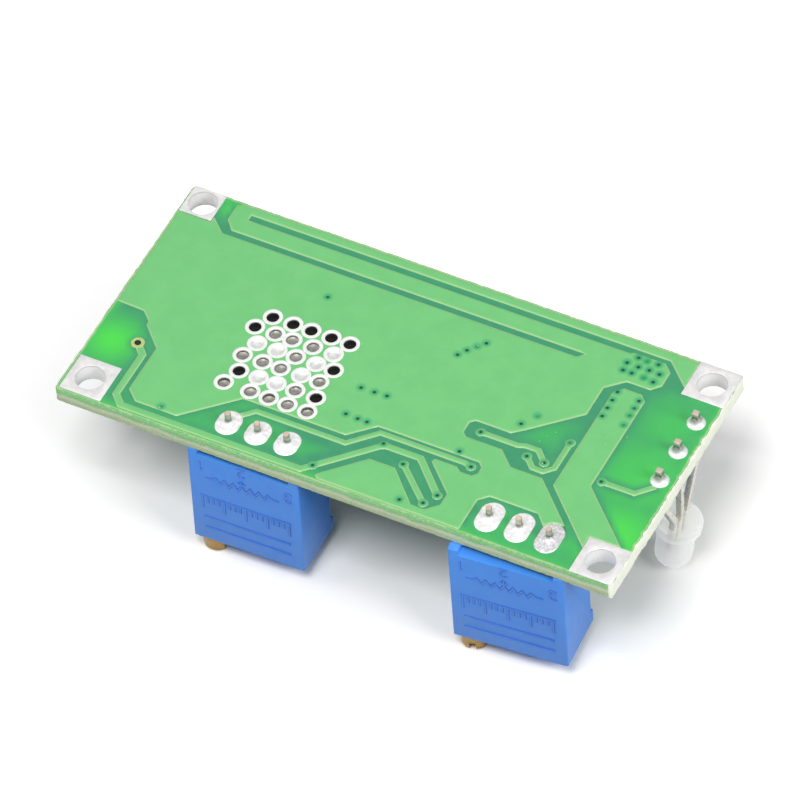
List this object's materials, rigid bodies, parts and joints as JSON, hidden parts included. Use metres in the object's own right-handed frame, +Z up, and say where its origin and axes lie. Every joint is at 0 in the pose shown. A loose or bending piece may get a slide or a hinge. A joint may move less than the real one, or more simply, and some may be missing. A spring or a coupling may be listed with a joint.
{
  "type": "buck converter module",
  "caption": "Step-down converter circuit board lying solder side up on its trimmer screws and capacitor cans, with wire pads at its corners and a lamp at one end.",
  "frame": {"origin": "middle of the board's outline, at the height of the surface that the module lies on", "axes": "+X along the board from the input pads to the output pads, +Y from the trimmer side to the far long edge, +Z up out of the soldered face"},
  "size_m": [0.0484, 0.0239, 0.0143],
  "materials": {
    "laminate": "green masked glass-fibre laminate, frayed on its cut edges",
    "masked_copper": "copper under light green solder mask",
    "tinned_copper": "tinned, slightly matt",
    "solder": "bright solder",
    "tinned_wire": "tinned wire, coppery where it was clipped",
    "tinned_tab": "satin tin plate",
    "trimmer_plastic": "satin blue moulding",
    "trimmer_brass": "turned",
    "lamp_resin": "milky clear resin",
    "black_moulding": "fine matt",
    "can_aluminium": "satin drawn",
    "ferrite": "matt fired",
    "coil_copper": "enamelled copper winding",
    "resistor_ceramic": "glazed top on fired ceramic",
    "capacitor_ceramic": "fired ceramic"
  },
  "bodies": {
    "board": {"laminate": "laminate", "ground_copper": "masked_copper", "output_copper": "masked_copper", "signal_traces": "masked_copper", "heat_via_rings": "tinned_copper", "input_plus_pad": "tinned_copper", "input_minus_pad": "tinned_copper", "output_plus_pad": "tinned_copper", "output_minus_pad": "tinned_copper", "component_lands": "tinned_copper", "trimmer_1_housing": "trimmer_plastic", "trimmer_1_pins": "tinned_wire", "trimmer_1_joints": "solder", "trimmer_2_housing": "trimmer_plastic", "trimmer_2_pins": "tinned_wire", "trimmer_2_joints": "solder", "lamp_lens": "lamp_resin", "lamp_legs": "tinned_wire", "lamp_joints": "solder", "regulator_tab": "tinned_tab", "regulator_body": "black_moulding", "regulator_leads": "tinned_wire", "input_capacitor_can": "can_aluminium", "input_capacitor_base": "black_moulding", "input_capacitor_leads": "tinned_wire", "output_capacitor_can": "can_aluminium", "output_capacitor_base": "black_moulding", "output_capacitor_leads": "tinned_wire", "inductor_shield": "ferrite", "inductor_drum": "ferrite", "inductor_coil": "coil_copper", "inductor_straps": "tinned_wire", "diode_body": "black_moulding", "diode_straps": "tinned_wire", "amplifier_body": "black_moulding", "amplifier_leads": "tinned_wire", "reference_body": "black_moulding", "reference_leads": "tinned_wire", "chip_resistor_blocks": "resistor_ceramic", "chip_resistor_ends": "solder", "chip_capacitor_blocks": "capacitor_ceramic", "chip_capacitor_ends": "solder"},
    "trimmer_1_screw_body": {"trimmer_1_screw": "trimmer_brass"},
    "trimmer_2_screw_body": {"trimmer_2_screw": "trimmer_brass"}
  },
  "joints": [
    {"name": "trimmer_1_turn", "type": "hinge", "parent": "board", "child": "trimmer_1_screw_body", "pos_m": [-0.01123, -0.01059, 0.00004], "axis": [0, -0.0332, -0.9995], "continuous": true},
    {"name": "trimmer_2_turn", "type": "hinge", "parent": "board", "child": "trimmer_2_screw_body", "pos_m": [0.0115, -0.01107, 0.00005], "axis": [0, -0.0175, -0.9998], "continuous": true}
  ]
}
